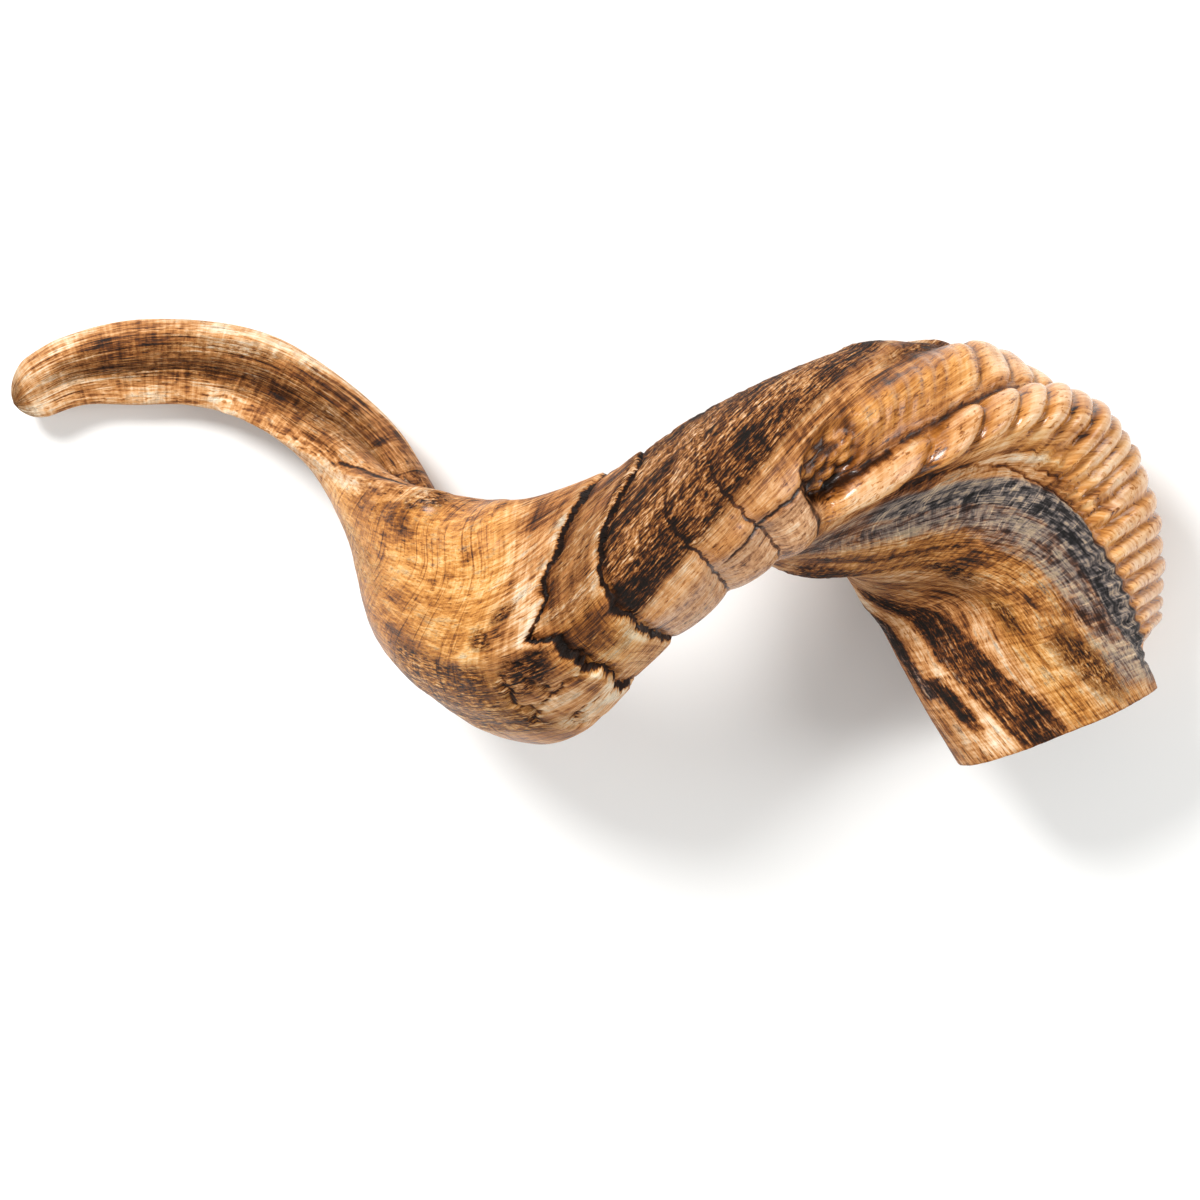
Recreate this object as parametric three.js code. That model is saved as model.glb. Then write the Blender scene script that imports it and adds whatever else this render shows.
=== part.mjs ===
import * as THREE from "three";

// A sheep's horn: one grown sheath of keratin, twisted like a slow corkscrew and sawn off square
// at its thick end. Millimetres throughout. It lies on its far side as on a table, Z up.
// "Along" is the distance from the sawn base to the tip. "Around" is in degrees: the keel with its
// row of knobs at 0, the outer crest at 90, the back rim at 180, the hollow inner face at 270.

// The shape before growth relief: centre, turn of the outer crest about the axis, and the radii
// at each landmark angle. View axes here: X right, Y up, Z toward the eye.
const LANDMARKS = [0, 28, 48, 90, 135, 180, 205, 235, 262, 290, 318, 340];
const STATIONS = [
  { at: [117, -32, -30.5], turn: -135, radii: [33, 30, 27, 21.5, 25, 30, 27, 22, 23, 24, 28, 29] },
  { at: [109, -10, -28.5], turn: -113, radii: [38, 33, 29, 25, 27, 32.5, 27, 21, 24, 24, 29, 31] },
  { at: [104, 8, -26], turn: -88, radii: [39.5, 34, 31, 26.5, 28, 35.5, 27, 20, 25, 24, 28, 30] },
  { at: [95, 22, -20], turn: -64, radii: [40.5, 37, 35, 31, 29.5, 37.5, 31, 25, 26, 26, 27, 29] },
  { at: [82, 31, -12], turn: -40, radii: [36, 33.5, 35, 32.5, 30, 36, 34, 29, 26, 25, 26, 28] },
  { at: [67, 34, -2], turn: -14, radii: [29, 27, 29.5, 30, 26, 30, 30, 30, 28.5, 25, 24, 25] },
  { at: [50, 33, 8], turn: 16, radii: [24, 23, 26, 26, 23, 25, 23, 24, 31, 24, 22, 22] },
  { at: [32, 26, 17], turn: 50, radii: [21, 20, 23, 25, 21, 21, 18, 15, 24, 20, 19, 19] },
  { at: [13, 13, 22], turn: 80, radii: [19.5, 18, 20, 23, 20, 20, 16, 12, 18, 15, 17, 19] },
  { at: [-4, 0, 20], turn: 106, radii: [23, 20.5, 21, 23, 23, 26, 21, 12, 13, 13, 17, 20] },
  { at: [-22, -4, 11], turn: 128, radii: [37, 30.5, 26, 23.5, 23.5, 29.5, 28, 14, 8, 10, 19, 28] },
  { at: [-39, 6, -1], turn: 151, radii: [29.5, 27.5, 25.5, 22.5, 21, 24.5, 26, 15, 5, 7, 17, 24] },
  { at: [-52, 22, -12], turn: 182, radii: [19, 18, 16, 14, 14, 18, 20, 11, 4, 6, 13, 17] },
  { at: [-62, 38, -20], turn: 215, radii: [14, 12, 12, 11, 12, 14, 12, 6, 4, 5, 9, 13] },
  { at: [-75, 49.5, -24], turn: 242, radii: [12, 10, 9, 8, 9, 12, 8, 4, 4, 5, 8, 11] },
  { at: [-89, 57.5, -26], turn: 258, radii: [11.5, 9, 8, 7, 8, 11.5, 7, 4, 4, 5, 8, 10.5] },
  { at: [-105, 61, -27], turn: 266, radii: [11, 8.5, 7, 6.5, 7, 11, 7, 4, 4, 5, 8, 10] },
  { at: [-121, 60.5, -26], turn: 270, radii: [11, 8, 7, 6, 6.5, 10.5, 6, 4, 4, 5, 8, 9.5] },
  { at: [-135, 58, -24], turn: 270, radii: [9.5, 7.5, 6.5, 5.5, 6, 8.5, 5.5, 3.5, 3.5, 4, 6.5, 8.5] },
  { at: [-143.5, 54, -22.5], turn: 270, radii: [8.5, 7, 6, 5, 5.5, 7.5, 5, 3.5, 3.5, 4, 6, 7.5] },
  { at: [-149.2, 50.4, -21.5], turn: 270, radii: [7, 6, 5, 4.5, 5, 6.3, 4.5, 3, 3, 3.5, 5, 6.5] },
];
const AXIS_UP = new THREE.Vector3(0.37, 0.93, 0).normalize();
const TOWARD = new THREE.Vector3(0, 0, 1);
// A section stands square to the chord this far ahead and behind.
const SECTION_REACH = 17;
// Turned and moved so that the blade, the crest and the base's back touch the table.
const LAY_X = -10.3;
const LAY_Y = -3;
const LAY_SHIFT = [0.55, -10.19, 49.5];

// Growth lines: how far each ring of growth leans along the horn at these angles.
const LEAN_ANGLES = [10, 50, 90, 120, 150, 180, 240, 300, 330];
const GROWTH_LINES = [
  { along: 0, lean: [0, 0, 0, 0, 0, 0, 0, 0, 0] },
  { along: 60, lean: [0, 0, 0, 0, 0, 0, 0, 0, 0] },
  { along: 96, lean: [-2, -4, -3, -2, 0, 0, 0, 2, 7] },
  { along: 120, lean: [0, 0, 0, -2, -3, -3, 0, 0, 3] },
  { along: 141, lean: [-4, 1, 3, -2, -8, -10, -8, -6, -5] },
  { along: 153, lean: [-1, 1, 3, -6, -10, -12, -8, -4, -2] },
  { along: 171, lean: [-1, 1, 2, -2, -14, -18, -12, -6, -2] },
  { along: 182, lean: [-4, 1, 3, -1, -9, -22, -12, -6, -4] },
  { along: 212, lean: [0, 0, 0, -3, -6, 2, 0, 0, 0] },
  { along: 250, lean: [0, 0, 0, 0, 0, 0, 0, 0, 0] },
];

// Knobs: how many have been passed at a distance along the keel.
const KNOB_COUNT = [
  [1, 0], [22.6, 5], [45.6, 10], [50, 11], [59.6, 14], [68.5, 16], [79.8, 18], [88.2, 19], [99.5, 20],
  [124, 21],
];
const KNOB_END = 114;
// The blade's end is rounded off over this length.
const END_ROUND = 7;

// Cubic through the values at the knots, with the given slopes.
function hermite(knots, values, slopes, x) {
  let i = 0;
  while (i < knots.length - 2 && x > knots[i + 1]) i += 1;
  const h = knots[i + 1] - knots[i];
  const u = Math.min(1, Math.max(0, (x - knots[i]) / h));
  const rise = u * u * (3 - 2 * u);
  const start = u * (1 - u) * (1 - u) * h * slopes[i];
  const finish = u * u * (u - 1) * h * slopes[i + 1];
  return values[i] + rise * (values[i + 1] - values[i]) + start + finish;
}
function slopesOf(knots, values) {
  return values.map((_, i) => {
    const a = Math.max(0, i - 1);
    const b = Math.min(values.length - 1, i + 1);
    return (values[b] - values[a]) / (knots[b] - knots[a]);
  });
}
function curve(knots, values) {
  const slopes = slopesOf(knots, values);
  return (x) => hermite(knots, values, slopes, x);
}
// The same, closed around the section.
function curveAround(angles, values, deg) {
  const n = angles.length;
  const knots = [];
  const wrapped = [];
  for (let j = -2; j < n + 3; j += 1) {
    knots.push(angles[(j + n) % n] + 360 * Math.floor(j / n));
    wrapped.push(values[(j + n) % n]);
  }
  const turned = deg < knots[1] ? deg + 360 : deg;
  return hermite(knots, wrapped, slopesOf(knots, wrapped), turned);
}

const stops = [0];
for (let i = 1; i < STATIONS.length; i += 1) {
  const step = STATIONS[i].at.map((v, k) => v - STATIONS[i - 1].at[k]);
  stops.push(stops[i - 1] + Math.hypot(...step));
}
const HORN_LENGTH = stops[stops.length - 1];
const track = (pick) => curve(stops, STATIONS.map(pick));
const centreAt = [0, 1, 2].map((k) => track((s) => s.at[k]));
const turnAt = track((s) => s.turn);
const radiiAt = LANDMARKS.map((_, j) => track((s) => s.radii[j]));
const knobsAt = curve(KNOB_COUNT.map((k) => k[0]), KNOB_COUNT.map((k) => k[1]));

const leanKnots = GROWTH_LINES.map((g) => g.along);
const leansAt = LEAN_ANGLES.map((_, j) => curve(leanKnots, GROWTH_LINES.map((g) => g.lean[j])));
const grown = (line, deg) => {
  if (line > 250) return line;
  return line + curveAround(LEAN_ANGLES, leansAt.map((f) => f(line)), deg);
};

// Relief, as height over the smooth shape. Angles from -180 to 180.
const fromKeel = (deg) => ((deg + 180) % 360 + 360) % 360 - 180;
const hump = (x, middle, width) => {
  const u = Math.min(1, Math.abs(x - middle) / width);
  return (1 - u * u) * (1 - u * u);
};
const ease = (x, from, to) => {
  const u = Math.min(1, Math.max(0, (x - from) / (to - from)));
  return u * u * (3 - 2 * u);
};
function knobs(line, a) {
  const fade = ease(line, 9, 18) * (1 - ease(line, KNOB_END - 4, KNOB_END + 2));
  const roll = Math.abs(Math.sin(Math.PI * knobsAt(line)));
  const bead = hump(a, -9, 27) * (1.2 + 1.5 * Math.sqrt(roll));
  const lobe = hump(a, 34, 22) * (0.4 + 1.2 * Math.sqrt(roll)) * (1 - 0.7 * ease(line, 84, 96));
  const across = hump(a, 85, 60) * 0.9 * Math.sin(Math.PI * knobsAt(line)) ** 2;
  return fade * (bead + lobe + across);
}
// By the sawn base the keel draws in behind the corner of the inner face.
function baseDip(line, a) {
  return -3.5 * (1 - ease(line, 9, 17)) * ease(a, -42, -27) * (1 - ease(a, 40, 85));
}
function keelGroove(line, a) {
  const middle = curve([0, 96, 120, 141, 153, 171], [13, 15, 22, 42, 36, 20])(line);
  const depth = 2.4 * (1 - ease(line, 118, 130)) + 1.1 * ease(line, 118, 130) * (1 - ease(line, 165, 180));
  return -depth * hump(a, middle, 9);
}
// Where the last knobs broke off: a rough pit in the keel.
function brokenPit(line, a) {
  const inside = hump(line, 119, 11) * hump(a, 24, 26);
  return -4 * inside ** 0.6 + 1.2 * inside * Math.sin(line * 1.9) * Math.sin(a * 0.35);
}
function growthGroove(line, a, at, depth) {
  return -depth * hump(line, at, 1.6) * (0.25 + 0.75 * hump(a, 70, 110));
}
// An older sheath ends over the younger one in a cracked ledge.
function ledge(line, a, at, height) {
  const seen = 0.35 + 0.65 * hump(a, 80, 130);
  const crack = -1.2 * hump(line, at - 0.4, 1.2);
  const step = height * ease(line, at - 0.3, at + 0.5) * (1 - ease(line, at + 4, at + 26));
  return seen * (crack + step);
}
function keelLumps(line, a) {
  const between = [[134, 9], [147, 6], [162, 9]];
  const swell = between.reduce((sum, [at, width]) => sum + hump(line, at, width), 0);
  return 1.3 * swell * hump(a, 12, 50);
}
function bellyLump(line, a) {
  return 1.6 * hump(line, 190, 9) * hump(a, 24, 36) - 1.8 * hump(line, 201, 7) * hump(a, 26, 30);
}
function innerFolds(line, a) {
  const base = 1 - ease(line, 90, 125);
  const tip = ease(line, 255, 280) * (1 - ease(line, 345, 362));
  const rough = 0.5 * Math.sin(2 * Math.PI * knobsAt(line)) * hump(a, -38, 14);
  return base * (rough - 1.1 * hump(a, -30, 5)) - tip * 0.7 * (hump(a, -125, 8) + hump(a, -70, 8));
}
function relief(line, deg) {
  const a = fromKeel(deg);
  return knobs(line, a) + baseDip(line, a) + keelGroove(line, a) + brokenPit(line, a) + keelLumps(line, a)
    + growthGroove(line, a, 141, 1.3) + growthGroove(line, a, 153, 1.3)
    + ledge(line, a, 171, 1.5) + ledge(line, a, 182, 1.7) + bellyLump(line, a) + innerFolds(line, a);
}

function frameAt(x) {
  const a = Math.max(0, x - SECTION_REACH);
  const b = Math.min(HORN_LENGTH, x + SECTION_REACH);
  const ahead = new THREE.Vector3(...centreAt.map((c) => c(b) - c(a))).normalize();
  const turn = THREE.MathUtils.degToRad(turnAt(x));
  const out = AXIS_UP.clone().multiplyScalar(Math.cos(turn)).addScaledVector(TOWARD, Math.sin(turn));
  out.addScaledVector(ahead, -out.dot(ahead)).normalize();
  return { centre: new THREE.Vector3(...centreAt.map((c) => c(x))), out, side: ahead.clone().cross(out) };
}
function place(frame, deg, radius) {
  const a = THREE.MathUtils.degToRad(deg);
  return frame.centre.clone()
    .addScaledVector(frame.side, -Math.cos(a) * radius)
    .addScaledVector(frame.out, Math.sin(a) * radius);
}
function surface(line, deg) {
  const x = Math.min(HORN_LENGTH, Math.max(0, grown(line, deg)));
  const smooth = curveAround(LANDMARKS, radiiAt.map((f) => f(x)), deg);
  const intoEnd = Math.max(0, x - HORN_LENGTH + END_ROUND) / (END_ROUND + 0.4);
  return place(frameAt(x), deg, (smooth + relief(line, deg)) * Math.sqrt(1 - intoEnd * intoEnd));
}

// The angles of every ring, closest over the keel's knobs.
const AROUND = [
  -44, -33, -25, -17, -9, -1, 7, 13, 21, 33, 45, 60, 75, 90, 107, 124, 140, 156, 168,
  180, 192, 201, 211, 223, 236, 249, 262, 276, 290, 303,
];
// The growth lines that become rings: a groove and two shoulders to every knob, then even steps
// with more at each groove and ledge.
const lines = [0];
for (let n = 0; n < 21; n += 1) {
  for (const part of [0, 0.22, 0.78]) {
    let low = 0;
    let high = KNOB_END;
    for (let k = 0; k < 30; k += 1) {
      const middle = (low + high) / 2;
      if (knobsAt(middle) < n + part) low = middle;
      else high = middle;
    }
    if (low > 2 && low < KNOB_END) lines.push(low);
  }
}
lines.push(
  116, 118.5, 121, 124, 127, 131, 135, 139, 140, 141, 142, 143, 147, 151.5, 152.4, 153, 153.8, 155,
  159, 163, 167, 169.8, 170.6, 171.5, 174, 178, 180.8, 181.6, 182.5, 185, 188, 191, 194, 197.5, 201, 205,
);
for (let x = 210; x < HORN_LENGTH - 14; x += 5.5) lines.push(x);
for (const back of [8, 5, 3, 1.6, 0.6, 0]) lines.push(HORN_LENGTH - back);

// The core that filled the horn in life is gone: a tapering hollow opens at the sawn face.
const HOLLOW_DEPTH = 46;
const HOLLOW_SHARE = 0.74;
const hollowLines = [0, 8, 16, 24, 31, 37, 41.5, 44.5];
function hollowPoint(x, deg) {
  const shrink = Math.sqrt(1 - (x / HOLLOW_DEPTH) ** 2);
  const base = curveAround(LANDMARKS, STATIONS[0].radii, deg);
  return place(frameAt(x), deg, HOLLOW_SHARE * base * shrink);
}

const positions = [];
const index = [];
function addRing(points) {
  const first = positions.length / 3;
  for (const p of points) positions.push(p.x, p.y, p.z);
  return first;
}
function join(a, b) {
  for (let j = 0; j < AROUND.length; j += 1) {
    const k = (j + 1) % AROUND.length;
    index.push(a + j, a + k, b + j, a + k, b + k, b + j);
  }
}
function close(ring, tip) {
  const apex = addRing([tip]);
  for (let j = 0; j < AROUND.length; j += 1) {
    index.push(ring + j, ring + (j + 1) % AROUND.length, apex);
  }
}
let ring = addRing(AROUND.map((deg) => hollowPoint(hollowLines[0], deg)));
const mouth = ring;
ring = addRing(AROUND.map((deg) => surface(0, deg)));
join(mouth, ring);
for (const line of lines.slice(1)) {
  const next = addRing(AROUND.map((deg) => surface(line, deg)));
  join(ring, next);
  ring = next;
}
close(ring, frameAt(HORN_LENGTH).centre.clone().add(new THREE.Vector3(-0.5, -0.3, 0.1)));

const outerCount = index.length;
ring = mouth;
for (const x of hollowLines.slice(1)) {
  const next = addRing(AROUND.map((deg) => hollowPoint(x, deg)));
  join(ring, next);
  ring = next;
}
close(ring, frameAt(HOLLOW_DEPTH).centre);
for (let i = outerCount; i < index.length; i += 3) [index[i], index[i + 1]] = [index[i + 1], index[i]];

const geometry = new THREE.BufferGeometry();
geometry.setAttribute("position", new THREE.Float32BufferAttribute(positions, 3));
geometry.setIndex(index);
geometry.rotateX(THREE.MathUtils.degToRad(LAY_X));
geometry.rotateY(THREE.MathUtils.degToRad(LAY_Y));
geometry.translate(...LAY_SHIFT);
const keratin = new THREE.MeshStandardMaterial({ color: 0xb07a45, roughness: 0.55, metalness: 0 });
const horn = new THREE.Mesh(geometry, keratin);
horn.name = "horn";
const part = new THREE.Group();
part.add(horn);
export default part;
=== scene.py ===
import math
from functools import partial

import bpy
import numpy as np
from mathutils import Matrix, Vector


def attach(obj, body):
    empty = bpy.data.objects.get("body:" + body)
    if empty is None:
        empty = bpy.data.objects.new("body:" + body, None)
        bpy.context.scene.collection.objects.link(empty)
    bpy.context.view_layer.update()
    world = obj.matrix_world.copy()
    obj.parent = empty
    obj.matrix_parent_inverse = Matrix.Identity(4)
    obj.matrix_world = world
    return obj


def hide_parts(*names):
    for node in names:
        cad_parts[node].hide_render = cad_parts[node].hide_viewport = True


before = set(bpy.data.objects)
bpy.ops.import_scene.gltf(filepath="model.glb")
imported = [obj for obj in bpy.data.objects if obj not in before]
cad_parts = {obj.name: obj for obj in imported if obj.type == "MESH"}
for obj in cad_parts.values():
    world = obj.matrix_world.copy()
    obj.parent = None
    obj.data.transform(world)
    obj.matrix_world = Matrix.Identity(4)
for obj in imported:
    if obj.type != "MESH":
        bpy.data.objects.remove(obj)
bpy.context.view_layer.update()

MM = 0.001

# ---------------------------------------------------------------- the horn's lines
# The same stations, growth lines and lie as the solid: lengths in mm, angles in degrees.
LANDMARKS = [0, 28, 48, 90, 135, 180, 205, 235, 262, 290, 318, 340]
# centre x, y, z, turn of the section, then the radii at the landmarks
STATIONS = np.array([
    [117, -32, -30.5, -135, 33, 30, 27, 21.5, 25, 30, 27, 22, 23, 24, 28, 29],
    [109, -10, -28.5, -113, 38, 33, 29, 25, 27, 32.5, 27, 21, 24, 24, 29, 31],
    [104, 8, -26, -88, 39.5, 34, 31, 26.5, 28, 35.5, 27, 20, 25, 24, 28, 30],
    [95, 22, -20, -64, 40.5, 37, 35, 31, 29.5, 37.5, 31, 25, 26, 26, 27, 29],
    [82, 31, -12, -40, 36, 33.5, 35, 32.5, 30, 36, 34, 29, 26, 25, 26, 28],
    [67, 34, -2, -14, 29, 27, 29.5, 30, 26, 30, 30, 30, 28.5, 25, 24, 25],
    [50, 33, 8, 16, 24, 23, 26, 26, 23, 25, 23, 24, 31, 24, 22, 22],
    [32, 26, 17, 50, 21, 20, 23, 25, 21, 21, 18, 15, 24, 20, 19, 19],
    [13, 13, 22, 80, 19.5, 18, 20, 23, 20, 20, 16, 12, 18, 15, 17, 19],
    [-4, 0, 20, 106, 23, 20.5, 21, 23, 23, 26, 21, 12, 13, 13, 17, 20],
    [-22, -4, 11, 128, 37, 30.5, 26, 23.5, 23.5, 29.5, 28, 14, 8, 10, 19, 28],
    [-39, 6, -1, 151, 29.5, 27.5, 25.5, 22.5, 21, 24.5, 26, 15, 5, 7, 17, 24],
    [-52, 22, -12, 182, 19, 18, 16, 14, 14, 18, 20, 11, 4, 6, 13, 17],
    [-62, 38, -20, 215, 14, 12, 12, 11, 12, 14, 12, 6, 4, 5, 9, 13],
    [-75, 49.5, -24, 242, 12, 10, 9, 8, 9, 12, 8, 4, 4, 5, 8, 11],
    [-89, 57.5, -26, 258, 11.5, 9, 8, 7, 8, 11.5, 7, 4, 4, 5, 8, 10.5],
    [-105, 61, -27, 266, 11, 8.5, 7, 6.5, 7, 11, 7, 4, 4, 5, 8, 10],
    [-121, 60.5, -26, 270, 11, 8, 7, 6, 6.5, 10.5, 6, 4, 4, 5, 8, 9.5],
    [-135, 58, -24, 270, 9.5, 7.5, 6.5, 5.5, 6, 8.5, 5.5, 3.5, 3.5, 4, 6.5, 8.5],
    [-143.5, 54, -22.5, 270, 8.5, 7, 6, 5, 5.5, 7.5, 5, 3.5, 3.5, 4, 6, 7.5],
    [-149.2, 50.4, -21.5, 270, 7, 6, 5, 4.5, 5, 6.3, 4.5, 3, 3, 3.5, 5, 6.5],
])
TIP_REACH = np.array([-0.5, -0.3, 0.1])
# The blade's end is rounded off over this length.
END_ROUND = 7
AXIS_UP = np.array([0.37, 0.93, 0]) / math.hypot(0.37, 0.93)
TOWARD = np.array([0, 0, 1.0])
SECTION_REACH = 17
LAY_X = math.radians(-10.3)
LAY_Y = math.radians(-3)
LAY_SHIFT = np.array([0.55, -10.19, 49.5])
LEAN_ANGLES = [10, 50, 90, 120, 150, 180, 240, 300, 330]
GROWTH_LINES = np.array([
    [0, 0, 0, 0, 0, 0, 0, 0, 0, 0],
    [60, 0, 0, 0, 0, 0, 0, 0, 0, 0],
    [96, -2, -4, -3, -2, 0, 0, 0, 2, 7],
    [120, 0, 0, 0, -2, -3, -3, 0, 0, 3],
    [141, -4, 1, 3, -2, -8, -10, -8, -6, -5],
    [153, -1, 1, 3, -6, -10, -12, -8, -4, -2],
    [171, -1, 1, 2, -2, -14, -18, -12, -6, -2],
    [182, -4, 1, 3, -1, -9, -22, -12, -6, -4],
    [212, 0, 0, 0, -3, -6, 2, 0, 0, 0],
    [250, 0, 0, 0, 0, 0, 0, 0, 0, 0],
])
STRAIGHT_FROM = 250
HOLLOW_DEPTH = 46
HOLLOW_SHARE = 0.74
WORN_FLAT = 0.3
# along the horn, knobs passed
KNOB_COUNT = [(1, 0), (22.6, 5), (45.6, 10), (50, 11), (59.6, 14), (68.5, 16), (79.8, 18), (88.2, 19),
              (99.5, 20), (124, 21)]


def slopes_of(knots, values):
    count = len(knots)
    low = np.maximum(0, np.arange(count) - 1)
    high = np.minimum(count - 1, np.arange(count) + 1)
    return (values[..., high] - values[..., low]) / (knots[high] - knots[low])


def hermite(v0, v1, m0, m1, h, u):
    rise = u * u * (3 - 2 * u)
    return v0 + rise * (v1 - v0) + u * (1 - u) ** 2 * h * m0 + u * u * (u - 1) * h * m1


def curve(knots, values):
    """A smooth curve through values (knots, columns), read at any x."""
    knots = np.asarray(knots, float)
    values = np.asarray(values, float).T
    slopes = slopes_of(knots, values)

    def at(x):
        x = np.asarray(x, float)
        i = np.clip(np.searchsorted(knots, x, side="left") - 1, 0, len(knots) - 2)
        h = knots[i + 1] - knots[i]
        u = np.clip((x - knots[i]) / h, 0, 1)
        out = hermite(values[..., i], values[..., i + 1], slopes[..., i], slopes[..., i + 1], h, u)
        return np.moveaxis(out, 0, -1) if values.ndim == 2 else out
    return at


def around(angles, values, deg):
    """The same, closed round the section: values (..., angles) read at deg (...)."""
    count = len(angles)
    laps = np.arange(-2, count + 3)
    knots = np.array([angles[j % count] + 360 * (j // count) for j in laps], float)
    wrapped = values[..., laps % count]
    slopes = slopes_of(knots, wrapped)
    turned = np.where(deg < knots[1], deg + 360, deg)
    i = np.clip(np.searchsorted(knots, turned, side="left") - 1, 0, len(knots) - 2)

    def pick(table, k):
        return np.take_along_axis(table, k[..., None], -1)[..., 0]
    h = knots[i + 1] - knots[i]
    u = np.clip((turned - knots[i]) / h, 0, 1)
    return hermite(pick(wrapped, i), pick(wrapped, i + 1), pick(slopes, i), pick(slopes, i + 1), h, u)


def unit(v):
    return v / np.linalg.norm(v, axis=-1, keepdims=True)


STOPS = np.concatenate([[0], np.cumsum(np.linalg.norm(np.diff(STATIONS[:, :3], axis=0), axis=1))])
HORN_LENGTH = STOPS[-1]
station_at = curve(STOPS, STATIONS)
lean_at = curve(GROWTH_LINES[:, 0], GROWTH_LINES[:, 1:])
knobs_passed = curve([k[0] for k in KNOB_COUNT], [k[1] for k in KNOB_COUNT])


def section_at(x):
    """Centre, outward and sideways axes and landmark radii of the section at x along the horn."""
    before = station_at(np.maximum(0, x - SECTION_REACH))[..., :3]
    after = station_at(np.minimum(HORN_LENGTH, x + SECTION_REACH))[..., :3]
    ahead = unit(after - before)
    here = station_at(x)
    turn = np.radians(here[..., 3:4])
    out = AXIS_UP * np.cos(turn) + TOWARD * np.sin(turn)
    out = unit(out - ahead * (out * ahead).sum(-1, keepdims=True))
    return here[..., :3], out, np.cross(ahead, out), here[..., 4:]


def aim(out, side, deg):
    a = np.radians(deg)[..., None]
    return np.sin(a) * out - np.cos(a) * side


def laid(points):
    """From the upright drawing to the horn as it lies on the table, in metres."""
    cx, sx = math.cos(LAY_X), math.sin(LAY_X)
    cy, sy = math.cos(LAY_Y), math.sin(LAY_Y)
    about_x = np.array([[1, 0, 0], [0, cx, -sx], [0, sx, cx]])
    about_y = np.array([[cy, 0, sy], [0, 1, 0], [-sy, 0, cy]])
    return (points @ (about_y @ about_x).T + LAY_SHIFT) * MM


# ---------------------------------------------------------------- shaping tools
def hump(x, middle, half):
    u = np.minimum(1, np.abs(x - middle) / half)
    return (1 - u * u) ** 2


def ease(x, low, high):
    u = np.clip((x - low) / (high - low), 0, 1)
    return u * u * (3 - 2 * u)


def wobble(x, seed):
    """An uneven wave between about -1 and 1, with waves about 9, 3.5 and 1.4 long."""
    waves = [(0.7, 0.5), (1.8, 0.3), (4.5, 0.2)]
    return sum(height * np.sin(rate * x + seed * (2.3 + k)) for k, (rate, height) in enumerate(waves))


def turned_to(deg, middle):
    return (deg - middle + 180) % 360 - 180 + middle


def band(u, deg, rows, soft=3.0, soft_end=3.0):
    """1 between two lines that run along the horn: rows of (along, low angle, high angle)."""
    rows = np.array(rows, float)
    a = turned_to(deg, rows[:, 1:].mean())
    low = np.interp(u, rows[:, 0], rows[:, 1])
    high = np.interp(u, rows[:, 0], rows[:, 2])
    inside = ease(a, low - soft, low + soft) * (1 - ease(a, high - soft, high + soft))
    first, last = rows[0, 0], rows[-1, 0]
    ends = ease(u, first - soft_end, first + soft_end) * (1 - ease(u, last - soft_end, last + soft_end))
    return inside * ends


def patch(u, deg, at, size, lean=0.0):
    """A soft oval: at (along, angle), size (half length, half angle), lean in degrees a mm."""
    a = turned_to(deg, at[1]) - lean * (u - at[0])
    far = np.sqrt(((u - at[0]) / size[0]) ** 2 + ((a - at[1]) / size[1]) ** 2)
    return 1 - ease(far, 0.3, 1.3)


def from_line_across(u, deg, rows, jag, seed):
    """How far along past a line that runs round the horn: rows of (angle, along). Also 1 within its span."""
    rows = np.array(rows, float)
    a = turned_to(deg, rows[:, 0].mean())
    line = np.interp(a, rows[:, 0], rows[:, 1]) + jag * wobble(a * 0.45, seed)
    span = ease(a, rows[0, 0] - 3, rows[0, 0] + 3) * (1 - ease(a, rows[-1, 0] - 3, rows[-1, 0] + 3))
    return u - line, span


def from_line_along(u, deg, rows, radius, jag, seed):
    """The same for a line that runs along the horn: rows of (along, angle), result in mm round it."""
    rows = np.array(rows, float)
    a = turned_to(deg, rows[:, 1].mean())
    line = np.interp(u, rows[:, 0], rows[:, 1]) + jag * wobble(u * 0.8, seed)
    span = ease(u, rows[0, 0] - 2, rows[0, 0] + 2) * (1 - ease(u, rows[-1, 0] - 2, rows[-1, 0] + 2))
    return (a - line) * math.pi / 180 * radius, span


def notch(distance, half):
    return np.exp(-(distance / half) ** 2)


# ---------------------------------------------------------------- relief
KNOB_INNER = [(0, -38), (25, -34), (45, -32), (50, -25), (60, -20), (64, -11), (75, -8), (80, -7), (100, -5),
              (124, 1)]
KNOB_OUTER = [(0, 30), (55, 28), (66, 22), (75, 19), (100, 18), (118, 19), (124, 12)]
KNOB_HEIGHT = [(0, 2.7), (56, 3.0), (66, 4.0), (90, 4.4), (112, 3.9), (119, 3.0), (123, 1.6), (126, 0)]
KEEL_CREASE = [(0, 24), (60, 24), (75, 19), (96, 18), (115, 18), (128, 20)]
LIP = [(226, 203), (240, 200), (250, 199), (257, 196), (265, 186), (285, 184), (310, 188)]
FOLD_LINE = [(44, -33), (52, -28), (62, -27), (70, -22), (80, -16), (95, -8), (104, -3)]
LUMP_CRACK = [(129, 41), (140, 42), (152, 36)]
# where older sheaths end, as (angle, along), with the line's raggedness and seed and its step and gap in mm
LEDGES = {
    "first_ledge": ([(-12, 171.5), (0, 171.2), (30, 171.6), (58, 171), (80, 171.5), (105, 170.5),
                     (117, 168.8), (135, 166.2), (155, 165.8), (200, 166)], 0.7, 4, 1.5, 1.3),
    "second_ledge": ([(-10, 185), (5, 185.8), (25, 185.4), (38, 182), (46, 181), (70, 180.8), (88, 181.4),
                      (93, 185), (97, 187.5), (101, 185.5), (112, 183.6), (126, 183.8), (131, 181),
                      (145, 180.5), (155, 179), (170, 180.5), (205, 181)], 1.0, 6, 1.8, 1.7)}
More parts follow.
